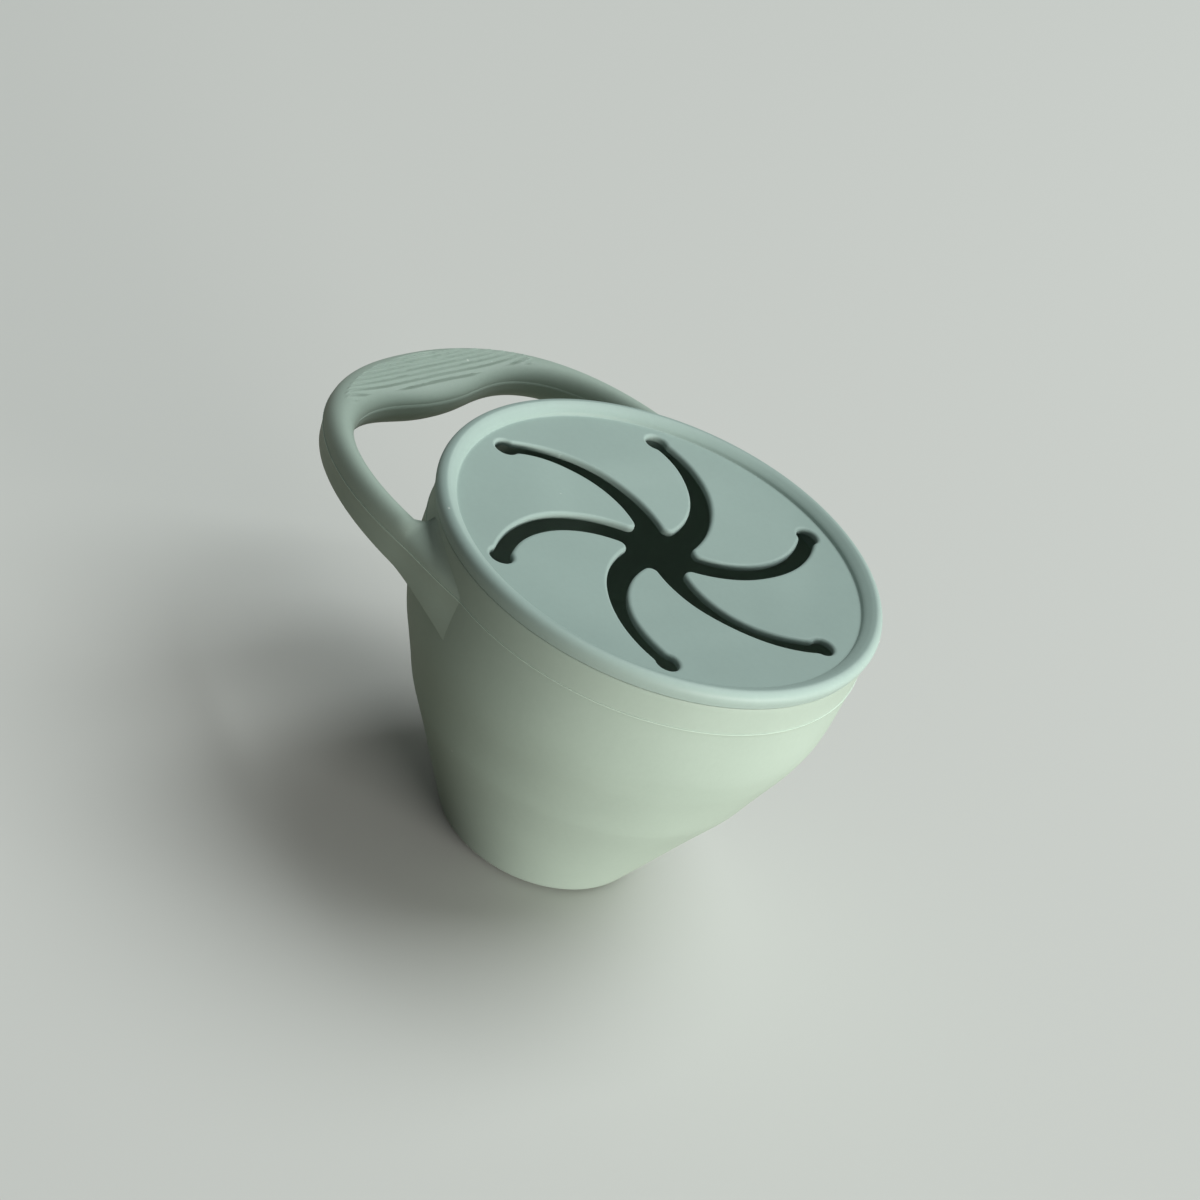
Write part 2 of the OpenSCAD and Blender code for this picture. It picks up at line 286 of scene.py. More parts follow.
def cup_outline():
    """From the middle of the underside, up the outside, over the rim and down the inside to the middle."""
    cone = math.degrees(math.atan2(wall_r(CONE_TOP) - wall_r(0), CONE_TOP))
    edge_z = BASE_EDGE_R * (1 - math.sin(math.radians(cone)))
    edge_r = wall_r(edge_z) - BASE_EDGE_R * math.cos(math.radians(cone))
    outline = [(0, 0), (edge_r * 0.5, 0)]
    outline += arc((edge_r, BASE_EDGE_R), BASE_EDGE_R, -90, -cone, 8)
    z = edge_z + WALL_STEP
    while z < SHOULDER_Z - SHOULDER_EDGE_R - 0.5:
        if abs(z - MOULD_LINE_Z) < WALL_STEP / 2:
            outline += [(wall_r(z) + h, MOULD_LINE_Z + dz) for dz, h in
                        ((-MOULD_LINE_LOW, 0), (-MOULD_LINE_TOP / 2, MOULD_LINE_H), (0, MOULD_LINE_H),
                         (MOULD_LINE_TOP, 0))]
        else:
            outline.append((wall_r(z), z))
        z += height_step(z)
    outline += rim_outline()
    z = SHOULDER_Z - TONGUE_FOOT - 1.2
    while z > FLOOR_TOP_Z + FLOOR_EDGE_R + 0.5:
        outline.append((wall_r(z) - wall_thickness(z), z))
        z -= height_step(z)
    floor_edge_z = FLOOR_TOP_Z + FLOOR_EDGE_R
    inner = wall_r(floor_edge_z) - WALL_T
    outline += arc((inner - FLOOR_EDGE_R, floor_edge_z), FLOOR_EDGE_R, 0, -80, 4)
    outline += [(inner - FLOOR_EDGE_R, FLOOR_TOP_Z), (inner * 0.5, FLOOR_TOP_Z), (0, FLOOR_TOP_Z)]
    return outline


def make_cup():
    """The cup's wall and base: one moulding that turns inside out at its thin band when pressed flat."""
    cup = turned_piece("cup_wall", cup_outline(), TURN_STEPS)
    # The mould line's ridge is marked for its painted highlight
    mark_line(cup, lambda v: abs(v.co.z / MM - MOULD_LINE_Z) < MOULD_LINE_LOW
              and v.co.xy.length / MM > wall_r(MOULD_LINE_Z) + MOULD_LINE_H / 2)
    smooth(cup, angle=50)
    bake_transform(cup)
    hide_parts("base", "lower_wall", "fold_band", "upper_wall")
    return cup


# ---------------------------------------------------------------- handle

HANDLE_REACH = -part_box("handle")[0].x / MM - MOULD_LINE_H
HANDLE_HALF_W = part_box("handle")[1].y / MM
HANDLE_END_L = 52
HANDLE_SQUARENESS = 2.24
ARM_END_X = 6.5
ARM_W = 5.2
ARM_SPLAY = 0.45
WEB_R = 1.8
ROOT_SINK = 4.0
ROOT_FILLET = 1.9
GRIP_W = 15.8
HANDLE_TOP_H = 4.0
ARM_DEPTH = 5.2
GRIP_DEPTH = 8.2
ROOT_DEPTH = 4.5
TOP_ROUNDNESS = 0.95
INNER_ROUNDNESS = 0.9
FILLET_FADE = 1.2
LINE_FOOT = 0.42
LINE_LOW = 0.16
LINE_HIGH = 0.04
OUTER_DRAFT = 0.35
OUTER_EDGE_R = 0.9
HANDLE_DROOP = 1.15
RIB_PITCH = 1.37
RIB_H = 0.45
RIB_SHARPNESS = 1.3
RIB_INSET_OUT = 3.2
RIB_INSET_IN = 1.8
RIB_RISE_OUT = 0.8
RIB_RISE_IN = 0.6

# Places and lengths along the loop, as u: 0 is the grip's middle, 1 either end of the squared ellipse
GRIP_END = 0.5
RIBS_END = 0.44
RIBS_FADE = 0.03
ARM_END = 1.7
SPLAY_OVER = 0.45
WIDTH_SPREAD = 0.35
DEPTH_SPREAD = 0.3
ROOT_FROM = 0.6
ROOT_OVER = 0.9
PROBE = 0.005

# Counts of sections along the loop and of points round each
ARM_RINGS = 66
GRIP_RINGS = 180
TOP_POINTS = 150
SIDE_POINTS = 14


def bell(u, spread):
    """1 in the grip's middle, falling away on both sides."""
    return math.exp(-((u / spread) ** 2))


def loop_point(u):
    """The mould line's outer edge in plan: half of a squared ellipse, then straight arms into the wall."""
    middle_x = HANDLE_REACH - HANDLE_END_L
    a = math.radians(min(abs(u), 1) * 90)
    power = 2 / HANDLE_SQUARENESS
    arm = max(0, abs(u) - 1) / (ARM_END - 1) * (middle_x - ARM_END_X)
    x = arm - middle_x - HANDLE_END_L * max(math.cos(a), 0) ** power
    splay = ARM_SPLAY * soft_step((abs(u) - 1) / SPLAY_OVER)
    return Vector((x, math.copysign(HANDLE_HALF_W * max(math.sin(a), 0) ** power + splay, u)))


def loop_out(u):
    """The way out of the loop, square to its edge."""
    ahead = (loop_point(u + PROBE) - loop_point(u - PROBE)).normalized()
    return Vector((-ahead.y, ahead.x))


def loop_width(u):
    """Wide at the grip, slim along the arms, and webbed where the arm's inner side meets the cup."""
    edge = loop_point(u)
    web_y = abs(edge.y) - ARM_W - WEB_R
    web_x = -math.sqrt((wall_r(MOULD_LINE_Z) + WEB_R) ** 2 - web_y**2)
    into = min(max((edge.x - web_x) / WEB_R, 0), 1) if abs(u) > 1 else 0
    web = WEB_R * (1 - math.sqrt(1 - into * into))
    sunk = ROOT_SINK * soft_step((edge.x - web_x - WEB_R) / 2) if abs(u) > 1 else 0
    return ARM_W + (GRIP_W - ARM_W) * bell(u, WIDTH_SPREAD) + web + sunk


def loop_depth(u):
    """Deep under the grip, shallow along the arms and deep again where they meet the cup."""
    root = (max(0, abs(u) - ROOT_FROM) / ROOT_OVER) ** 2
    return ARM_DEPTH + (GRIP_DEPTH - ARM_DEPTH) * bell(u, DEPTH_SPREAD) + ROOT_DEPTH * root


def loop_height(u):
    """The mould line's height: the loop droops towards its grip."""
    return MOULD_LINE_Z - HANDLE_DROOP * (-loop_point(u).x / HANDLE_REACH) ** 2


def rib_height(place, inset, width, u):
    """Straight ribs along Y on the grip's top, faded out at its edges."""
    if abs(u) > GRIP_END:
        return 0
    along = (-place.x - (HANDLE_REACH - RIB_INSET_OUT)) / RIB_PITCH
    wave = max(0, math.cos(2 * math.pi * along)) ** RIB_SHARPNESS
    outer = soft_step((inset - RIB_INSET_OUT + 0.5) / RIB_RISE_OUT)
    inner = soft_step((width - RIB_INSET_IN - inset) / RIB_RISE_IN)
    end = soft_step((RIBS_END - abs(u)) / RIBS_FADE)
    return RIB_H * wave * min(outer, inner) * end


def root_flare(place, height, reach):
    """How far the surface swells where it meets the cup, so that the two run into each other."""
    gap = place.length - wall_r(height)
    if reach <= 0 or gap >= reach:
        return 0
    share = 1 - max(gap, 0) / reach
    return reach * (1 - math.sqrt(max(0, 1 - share * share)))


def loop_section(u):
    """One section: over the round top, down the inner side, along the bottom and up the flat outer side.
    Each point is (inset from the outer edge, height over the mould line, fillet where it meets the cup)."""
    w = loop_width(u)
    d = loop_depth(u)
    points = []
    for i in range(TOP_POINTS + 1):
        a = math.pi * i / TOP_POINTS
        points.append((w / 2 * (1 - math.cos(a)), HANDLE_TOP_H * math.sin(a) ** TOP_ROUNDNESS + 0.02,
                       ROOT_FILLET * math.sin(a) ** FILLET_FADE))
    points.append((w + MOULD_LINE_H / 2, -0.05, 0.0))
    for i in range(1, SIDE_POINTS + 1):
        a = math.pi / 2 * i / SIDE_POINTS
        points.append((w / 2 * (1 + math.cos(a)), -d * math.sin(a) ** INNER_ROUNDNESS, 0.0))
    edge_middle = (OUTER_DRAFT + OUTER_EDGE_R, OUTER_EDGE_R - d)
    points += [(*p, 0.0) for p in arc(edge_middle, OUTER_EDGE_R, -90, -170, 4)]
    points += [(0.2, -d * 0.5, 0.0), (0.02, -LINE_FOOT, 0.0)]
    points += [(-MOULD_LINE_H, -lower, 0.0) for lower in (LINE_LOW, LINE_HIGH)]
    return points


def loop_ring(u):
    """One section in place, ribs and root fillets added, and its sunk part kept within the wall."""
    edge = loop_point(u)
    out = loop_out(u)
    level = loop_height(u)
    w = loop_width(u)
    ring = []
    for inset, rise, fillet in loop_section(u):
        place = edge - out * inset
        height = level + rise
        if rise > 0:
            height += rib_height(place, inset, w, u)
        swell = root_flare(place, height, fillet)
        height += swell * min(1, rise / HANDLE_TOP_H)
        within_wall = wall_r(height) - WALL_T / 2
        if place.length < within_wall:
            place = place.normalized() * within_wall
        ring.append((place.x, place.y, height))
    return ring


def make_handle():
    """The loop handle: one sweep with a flat outer side, a wide ribbed grip and roots sunk in the wall."""
    arm = [GRIP_END + (ARM_END - GRIP_END) * i / ARM_RINGS for i in range(ARM_RINGS + 1)]
    grip = [GRIP_END * (2 * i / GRIP_RINGS - 1) for i in range(1, GRIP_RINGS)]
    rows = [loop_ring(u) for u in [-u for u in reversed(arm)] + grip + arm]
    handle = woven_piece("loop_handle", rows)
    around = len(rows[0])
    # The mould line's lip is marked for its painted highlight
    mark_line(handle, lambda v: v.index % (around + 1) in (around - 2, around - 1))
    edit(handle)
    bpy.ops.mesh.select_all(action="SELECT")
    bpy.ops.mesh.remove_doubles(threshold=MERGE_WITHIN * MM)
    bpy.ops.mesh.select_all(action="DESELECT")
    bpy.ops.mesh.select_non_manifold()
    bpy.ops.mesh.fill_holes(sides=0)
    leave_edit()
    closed(handle)
    smooth(handle, angle=60)
    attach(handle, "upper_cup")
    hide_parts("handle")
    return handle


# ---------------------------------------------------------------- lid

LID_STEPS = 360
PANEL_T = 1.6
PANEL_R = 41.9
PANEL_UNDER_R = 41.3
CROWN_R = 1.75
LIP_EDGE_R = 0.22
LIP_INSET = 0.45
LIP_Z = SHOULDER_Z + 0.2
GROOVE_OUT_R = 46.08
GROOVE_IN_R = 43.68
GROOVE_TOP_Z = PANEL_Z + 0.3
SKIRT_IN_R = 42.28
SKIRT_TIP_Z = PANEL_Z - 4.3
SKIRT_ROOT_R = 0.5

# The bead's inner side, as radius and height over the panel
BEAD_FOOT = [(42.7, 0), (42.95, 0.07), (43.1, 0.36), (43.25, 0.7), (43.62, 1.1), (44.15, 1.5), (44.75, 1.88)]

# The slits, in plan and before the pattern is turned to its place
PATTERN_TURN = -15.5
SLIT_BULB_R = 2.35
SLIT_BULB = Vector((-0.8, 38.2))
SLIT_NECK = Vector((0, 35.5))
SLIT_MOUTH = Vector((4.47, 10.05))
SLIT_IN_MID = Vector((-13.86, 19.91))
SLIT_IN_R = 20.82
SLIT_W = 3.9
SLIT_NECK_W = 3.3
SLIT_OUT_HUB = Vector((8.29, 5.59))
PETAL_TIP_R = 1.75
NECK_FILLET = 1.8
EDGE_TOP_R = 0.75
EDGE_LOW_R = 0.4
LONG_ARC_STEP = 0.7
END_ARC_STEP = 0.3
FILLET_ARC_STEP = 0.25

# A place on the first petal and its bend, in plan and before the pattern is turned
PETAL_SPOT = Vector((9.5, 7.5))
BEND_FROM = Vector((8.776, 29.148))
BEND_TO = Vector((30.359, 18.884))
BEND_Z = PANEL_Z - PANEL_T / 2
PETAL_SAG = 2.4
SAG_END = 13.0
BEND_START = -0.6
BEND_END = 5.0
BEND_CUTS = 12
CUT_WITHIN = 0.001
ON_CUT_WITHIN = 0.004
SEAM_BEFORE = 2.5
SEAM_AFTER = 0.8
LEVEL_MARGIN = 0.05
LEVEL_WITHIN = 0.01


def turn_plan(p, degrees):
    """A place in plan, turned round the cup's axis."""
    return Matrix.Rotation(math.radians(degrees), 2) @ p


def on_circle(middle, radius, towards):
    """The point of a circle that faces another point."""
    return middle + (towards - middle).normalized() * radius


def circles_meet(a, ra, b, rb, side):
    """Where two circles meet, on the given side of the way from a to b."""
    d = (b - a).length
    along = (b - a) / d
    x = (ra * ra - rb * rb + d * d) / (2 * d)
    y = math.sqrt(ra * ra - x * x)
    return a + along * x + Vector((-along.y, along.x)) * y * side


def circle_middle(a, b, c):
    """The middle of the circle through three points."""
    p, q = b - a, c - a
    turn = 2 * (p.x * q.y - p.y * q.x)
    return a + Vector((q.y * p.length_squared - p.y * q.length_squared,
                       p.x * q.length_squared - q.x * p.length_squared)) / turn


def slit_arc(middle, start, end, step=LONG_ARC_STEP):
    """Points from start to end along the shorter arc round middle, without the last one."""
    s, e = start - middle, end - middle
    turn = math.atan2(s.x * e.y - s.y * e.x, s.dot(e))
    count = max(2, round(abs(turn) * s.length / step))
    return [middle + Matrix.Rotation(turn * i / count, 2) @ s for i in range(count)]


def slit_sector():
    """One slit's edge: along the petal before it, round its end and along the next petal to its tip."""
    out_bow = on_circle(SLIT_IN_MID, SLIT_IN_R + SLIT_W, (SLIT_NECK + SLIT_MOUTH) / 2)
    out_neck = on_circle(SLIT_IN_MID, SLIT_IN_R + SLIT_NECK_W, SLIT_NECK)
    out_mid = circle_middle(out_neck, out_bow, SLIT_OUT_HUB)
    out_r = (out_bow - out_mid).length
    next_in_mid = turn_plan(SLIT_IN_MID, -PETAL_STEP)
    tip = circles_meet(out_mid, out_r + PETAL_TIP_R, next_in_mid, SLIT_IN_R - PETAL_TIP_R, -1)
    tip_out = on_circle(tip, PETAL_TIP_R, out_mid)
    tip_in = on_circle(tip, -PETAL_TIP_R, next_in_mid)
    tip_end = on_circle(tip, PETAL_TIP_R, Vector((0, 0)))
    last_tip_in = turn_plan(tip_in, PETAL_STEP)
    reach = SLIT_BULB_R + NECK_FILLET
    fillet_in, fillet_out = (
        min((circles_meet(middle, radius, SLIT_BULB, reach, side) for side in (-1, 1)), key=lambda p: p.y)
        for middle, radius in ((SLIT_IN_MID, SLIT_IN_R - NECK_FILLET), (out_mid, out_r + NECK_FILLET)))
    in_touch = on_circle(SLIT_IN_MID, SLIT_IN_R, fillet_in)
    bulb_in = on_circle(SLIT_BULB, SLIT_BULB_R, fillet_in)
    bulb_far = SLIT_BULB + Vector((-math.sqrt(3) / 2, 0.5)) * SLIT_BULB_R
    bulb_out = on_circle(SLIT_BULB, SLIT_BULB_R, fillet_out)
    out_touch = on_circle(out_mid, out_r, fillet_out)
    return (slit_arc(SLIT_IN_MID, last_tip_in, in_touch)
            + slit_arc(fillet_in, in_touch, bulb_in, FILLET_ARC_STEP)
            + slit_arc(SLIT_BULB, bulb_in, bulb_far, END_ARC_STEP)
            + slit_arc(SLIT_BULB, bulb_far, bulb_out, END_ARC_STEP)
            + slit_arc(fillet_out, bulb_out, out_touch, FILLET_ARC_STEP)
            + slit_arc(out_mid, out_touch, tip_out)
            + slit_arc(tip, tip_out, tip_end, END_ARC_STEP)
            + slit_arc(tip, tip_end, tip_in, END_ARC_STEP))


def slit_edge_rows():
    """Rings down the star-shaped cut-out's edge: rounded at the top, straight, rounded at the bottom."""
    loop = [turn_plan(p, -k * PETAL_STEP) for k in range(PETALS) for p in slit_sector()]
    n = len(loop)
    normals = []
    for i in range(n):
        ahead = (loop[(i + 1) % n] - loop[i - 1]).normalized()
        normals.append(Vector((-ahead.y, ahead.x)))
    profile = [(EDGE_TOP_R + 0.12, 0)]
    profile += arc((EDGE_TOP_R, EDGE_TOP_R), EDGE_TOP_R, -90, -180, 6)
    profile += arc((EDGE_LOW_R, PANEL_T - EDGE_LOW_R), EDGE_LOW_R, 180, 90, 3)
    profile += [(EDGE_LOW_R + 0.1, PANEL_T)]
    return [[(p.x + m.x * inset, p.y + m.y * inset, PANEL_Z - drop) for p, m in zip(loop, normals)]
            for inset, drop in profile]


def lid_rim_outline():
    """From the panel's top, over the bead, round the lip and the groove to the panel's underside."""
    crown_r = BEAD_R - CROWN_R
    crown_z = BEAD_TOP_Z - CROWN_R
    lip_edge_z = LIP_Z + LIP_EDGE_R
    under_z = PANEL_Z - PANEL_T
    corner_z = GROOVE_TOP_Z - 0.25
    skirt_t = GROOVE_IN_R - SKIRT_IN_R
    foot = [(r, PANEL_Z + rise) for r, rise in BEAD_FOOT]
    outline = [(PANEL_R, PANEL_Z), (PANEL_R + 0.4, PANEL_Z)]
    outline += curve([*foot, (crown_r - 0.2, BEAD_TOP_Z - 0.02)], 5)
    outline += arc((crown_r, crown_z), CROWN_R, 88, 2, 14)
    outline += curve([(BEAD_R, crown_z - 0.1), (BEAD_R - 0.1, crown_z - 0.7), (BEAD_R - 0.32, crown_z - 1.25),
                      (BEAD_R - LIP_INSET, lip_edge_z)], 4)
    outline += arc((BEAD_R - LIP_INSET - LIP_EDGE_R, lip_edge_z), LIP_EDGE_R, -10, -90, 4)
    outline += [(GROOVE_OUT_R + LIP_EDGE_R, LIP_Z), (GROOVE_OUT_R, lip_edge_z)]
    outline += [(GROOVE_OUT_R, corner_z), (GROOVE_OUT_R - 0.28, GROOVE_TOP_Z)]
    outline += [(GROOVE_IN_R + 0.27, GROOVE_TOP_Z), (GROOVE_IN_R, corner_z), (GROOVE_IN_R, SKIRT_TIP_Z)]
    outline += arc((SKIRT_IN_R + skirt_t / 2, SKIRT_TIP_Z), skirt_t / 2, 0, -180, 10)
    outline += [(SKIRT_IN_R, under_z - SKIRT_ROOT_R - 0.1)]
    outline += arc((SKIRT_IN_R - SKIRT_ROOT_R, under_z - SKIRT_ROOT_R), SKIRT_ROOT_R, 0, 90, 4)
    outline += [(PANEL_UNDER_R, under_z)]
    return outline


def fill_level(piece, z):
    """Fills the flat face between the open loops at one height."""
    mesh = edit(piece)
    bpy.ops.mesh.select_mode(type="EDGE")
    bpy.ops.mesh.select_all(action="DESELECT")
    for e in mesh.edges:
        if e.is_boundary and all(abs(v.co.z - z * MM) < LEVEL_WITHIN * MM for v in e.verts):
            e.select = True
    bmesh.update_edit_mesh(piece.data)
    bpy.ops.mesh.fill(use_beauty=True)
    leave_edit()


def make_lid_blank():
    """The lid as it leaves the mould, petals and all, in the pattern's own turn."""
    rim = turned_piece("lid", lid_rim_outline(), LID_STEPS)
    edges = woven_piece("slit_edges", slit_edge_rows())
    closed(edges)
    nothing_selected()
    edges.select_set(True)
    rim.select_set(True)
    bpy.context.view_layer.objects.active = rim
    bpy.ops.object.join()
    fill_level(rim, PANEL_Z)
    fill_level(rim, PANEL_Z - PANEL_T)
    closed(rim)
    return rim


def bend_frame(k):
    """The k-th petal's bend line, before the pattern is turned: a point, the way along and the way in."""
    start = turn_plan(BEND_FROM, -k * PETAL_STEP)
    along = turn_plan(BEND_TO - BEND_FROM, -k * PETAL_STEP).normalized()
    return start, along, Vector((along.y, -along.x))


def cut(k, inset, clear_outside):
    """Cuts what is selected straight down beside the k-th bend line, inset millimetres towards the hub."""
    start, _, inwards = bend_frame(k)
    place = start + inwards * inset
    bpy.ops.mesh.bisect(plane_co=(place.x * MM, place.y * MM, 0), plane_no=(-inwards.x, -inwards.y, 0),
                        clear_outer=clear_outside, use_fill=clear_outside, threshold=CUT_WITHIN * MM)


def select_petal(mesh, k):
    """Selects what hangs together with a vertex of the k-th petal."""
    bpy.ops.mesh.select_all(action="DESELECT")
    spot = turn_plan(PETAL_SPOT, -k * PETAL_STEP)
    nearest = min(mesh.verts, key=lambda v: (v.co.xy / MM - spot).length)
    nearest.select = True
    bpy.ops.mesh.select_linked()


def make_petal_blank(lid):
    """One petal, cut off the lid at its bend line, with extra cuts where it bends."""
    petal = copy_of(lid, "petal_1_flap")
    mesh = edit(petal)
    bpy.ops.mesh.select_all(action="SELECT")
    cut(0, BEND_START, True)
    bpy.ops.mesh.select_mode(type="VERT")
    select_petal(mesh, 0)
    bpy.ops.mesh.select_all(action="INVERT")
    bpy.ops.mesh.delete(type="VERT")
    for i in range(1, BEND_CUTS + 1):
        bpy.ops.mesh.select_all(action="SELECT")
        cut(0, BEND_START + (BEND_END - BEND_START) * i / BEND_CUTS, False)
    leave_edit()
    closed(petal)
    return petal


def on_seam(edge, k):
    """Whether an edge lies in the k-th cut, between the two slits at its ends."""
    start, along, inwards = bend_frame(k)
    length = (BEND_TO - BEND_FROM).length
    places = [v.co.xy / MM - start for v in edge.verts]
    middle = (places[0] + places[1]) / 2
    in_cut = all(abs(p.dot(inwards) - BEND_START) < ON_CUT_WITHIN for p in places)
    return in_cut and -SEAM_BEFORE < middle.dot(along) < length + SEAM_AFTER


def cut_petals_away(lid):
    """Leaves the panel's margin: each petal is cut loose and deleted, and the cut is closed."""
    low = (PANEL_Z - PANEL_T - LEVEL_MARGIN) * MM
    high = (PANEL_Z + LEVEL_MARGIN) * MM
    for k in range(PETALS):
        mesh = edit(lid)
        bpy.ops.mesh.select_mode(type="FACE")
        bpy.ops.mesh.select_all(action="DESELECT")
        for f in mesh.faces:
            if all(low < v.co.z < high for v in f.verts):
                f.select = True
        bmesh.update_edit_mesh(lid.data)
        cut(k, BEND_START, False)
        mesh = bmesh.from_edit_mesh(lid.data)
        seam = [e for e in mesh.edges if on_seam(e, k)]
        bpy.ops.mesh.select_mode(type="EDGE")
        bpy.ops.mesh.select_all(action="DESELECT")
        for e in seam:
            e.select = True
        bmesh.update_edit_mesh(lid.data)
        bpy.ops.mesh.edge_split(type="EDGE")
        mesh = bmesh.from_edit_mesh(lid.data)
        bpy.ops.mesh.select_mode(type="VERT")
        select_petal(mesh, k)
        bpy.ops.mesh.delete(type="VERT")
        bpy.ops.mesh.select_all(action="DESELECT")
        bpy.ops.mesh.select_non_manifold()
        bpy.ops.mesh.fill_holes(sides=0)
        leave_edit()
    closed(lid)


def droop(petal):
    """Bends the petal down a little past its bend line, as it hangs at rest."""
    start, along, inwards = bend_frame(0)
    for v in petal.data.vertices:
        p = v.co / MM
        reach = (p.xy - start).dot(inwards)
        angle = math.radians(PETAL_SAG) * soft_step((reach - BEND_START) / (SAG_END - BEND_START))
        h = p.z - BEND_Z
        side = (p.xy - start).dot(along)
        flat = start + along * side + inwards * (reach * math.cos(angle) + h * math.sin(angle))
        v.co = Vector((flat.x, flat.y, BEND_Z + h * math.cos(angle) - reach * math.sin(angle))) * MM


def turn_piece(piece, degrees):
    """Turns a piece's mesh round the cup's axis."""
    piece.data.transform(Matrix.Rotation(math.radians(degrees), 4, "Z"))


def make_lid():
    """The lid's rim and panel, and its six petals, each bent at its own line."""
    lid = make_lid_blank()
    petal = make_petal_blank(lid)
    cut_petals_away(lid)
    droop(petal)
    smooth(petal, angle=50)
    turn_piece(petal, PATTERN_TURN)
    petals = [petal]
    for k in range(1, PETALS):
        twin = copy_of(petal, f"petal_{k + 1}_flap")
        turn_piece(twin, -k * PETAL_STEP)
        petals.append(twin)
    for k, flap in enumerate(petals):
        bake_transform(flap)
        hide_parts(f"petal_{k + 1}")
    turn_piece(lid, PATTERN_TURN)
    smooth(lid, angle=50)
    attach(lid, "lid")
    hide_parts("lid_rim", "lid_panel")
    return [lid, *petals]


# ---------------------------------------------------------------- materials

CUP_COLOUR = (0.348, 0.438, 0.372, 1)
LID_COLOUR = (0.316, 0.417, 0.377, 1)
FLOOR_COLOUR = (0.58, 0.592, 0.56, 1)
FLOOR_BOUNCE = (0.265, 0.25, 0.205, 1)
BACKDROP_COLOUR = (0.58, 0.6, 0.57, 1)
ROOM_LIGHT = (0.153, 0.158, 0.156, 1)
DUST_COLOUR = (0.72, 0.76, 0.71, 1)
# How much paler the mould line's ridge is painted: a painted highlight where it catches the light
MOULD_LINE_PAINTED_HIGHLIGHT = 0.45
SILICONE_IOR = 1.41
BLOOM = 0.05
GRAIN_STRENGTH = 0.25
GRAIN_H = 0.06

# Sizes of the surface's patterns, as repeats per metre
MOTTLE_SCALE = 45
FINE_SCALE = 900
GRAIN_SCALE = 2600
SPECK_SCALE = 170
SPECK_PATCH_SCALE = 260


def silicone_surface():
    """Group: moulded silicone's mottling, matte grain, a painted highlight along the mould line and sparse
    dust.
    """
    group = bpy.data.node_groups.new("silicone_surface", "ShaderNodeTree")
    face = group.interface
    face.new_socket("Colour", in_out="INPUT", socket_type="NodeSocketColor")
    face.new_socket("Roughness", in_out="INPUT", socket_type="NodeSocketFloat")
    face.new_socket("Dust", in_out="INPUT", socket_type="NodeSocketFloat")
    face.new_socket("Colour", in_out="OUTPUT", socket_type="NodeSocketColor")
    face.new_socket("Roughness", in_out="OUTPUT", socket_type="NodeSocketFloat")
    face.new_socket("Height", in_out="OUTPUT", socket_type="NodeSocketFloat")
    nodes, links = group.nodes, group.links
    given = nodes.new("NodeGroupInput")
    made = nodes.new("NodeGroupOutput")
    place = nodes.new("ShaderNodeTexCoord")

    def noise(scale, detail, roughness=0.5):
        n = nodes.new("ShaderNodeTexNoise")
        n.inputs["Scale"].default_value = scale
        n.inputs["Detail"].default_value = detail
        n.inputs["Roughness"].default_value = roughness
        links.new(place.outputs["Object"], n.inputs["Vector"])
        return n.outputs["Fac"]

    def ranged(value, low, high, to_low, to_high):
        n = nodes.new("ShaderNodeMapRange")
        n.inputs["From Min"].default_value = low
        n.inputs["From Max"].default_value = high
        n.inputs["To Min"].default_value = to_low
        n.inputs["To Max"].default_value = to_high
        links.new(value, n.inputs["Value"])
        return n.outputs["Result"]

    def maths(kind, a, b):
        n = nodes.new("ShaderNodeMath")
        n.operation = kind
        for socket, value in zip(n.inputs, (a, b)):
            if isinstance(value, (int, float)):
                socket.default_value = value
            else:
                links.new(value, socket)
        return n.outputs[0]

    mottle = noise(MOTTLE_SCALE, 3)
    grain = noise(GRAIN_SCALE, 3, 0.6)
    fine = noise(FINE_SCALE, 2)
    specks = nodes.new("ShaderNodeTexVoronoi")
    specks.inputs["Scale"].default_value = SPECK_SCALE
    specks.inputs["Randomness"].default_value = 1
    links.new(place.outputs["Object"], specks.inputs["Vector"])
    spots = ranged(specks.outputs["Distance"], 0.03, 0.07, 1, 0)
    rare = ranged(noise(SPECK_PATCH_SCALE, 1), 0.61, 0.64, 0, 1)
    speck = maths("MULTIPLY", maths("MULTIPLY", spots, rare), given.outputs["Dust"])
    shade = maths("ADD", ranged(mottle, 0.3, 0.7, 0.975, 1.025), ranged(fine, 0.3, 0.7, -0.012, 0.012))
    # Painted highlight: the mould line's ridge is painted paler where it would catch the light
    painted_highlight_line = nodes.new("ShaderNodeAttribute")
    painted_highlight_line.attribute_name = "mould_line_highlight"
    shade = maths("ADD", shade, maths("MULTIPLY", painted_highlight_line.outputs["Fac"], MOULD_LINE_PAINTED_HIGHLIGHT))
    tint = nodes.new("ShaderNodeMix")
    tint.data_type = "RGBA"
    tint.blend_type = "MULTIPLY"
    tint.inputs["Factor"].default_value = 1
    links.new(given.outputs["Colour"], tint.inputs["A"])
    links.new(shade, tint.inputs["B"])
    dusty = nodes.new("ShaderNodeMix")
    dusty.data_type = "RGBA"
    dusty.inputs["B"].default_value = DUST_COLOUR
    links.new(speck, dusty.inputs["Factor"])
    links.new(tint.outputs["Result"], dusty.inputs["A"])
    links.new(dusty.outputs["Result"], made.inputs["Colour"])
    rough = maths("ADD", given.outputs["Roughness"], ranged(mottle, 0.3, 0.7, -0.04, 0.04))
    links.new(rough, made.inputs["Roughness"])
    height = maths("ADD", maths("MULTIPLY", grain, 0.7), maths("MULTIPLY", fine, 0.5))
    links.new(height, made.inputs["Height"])
    return group


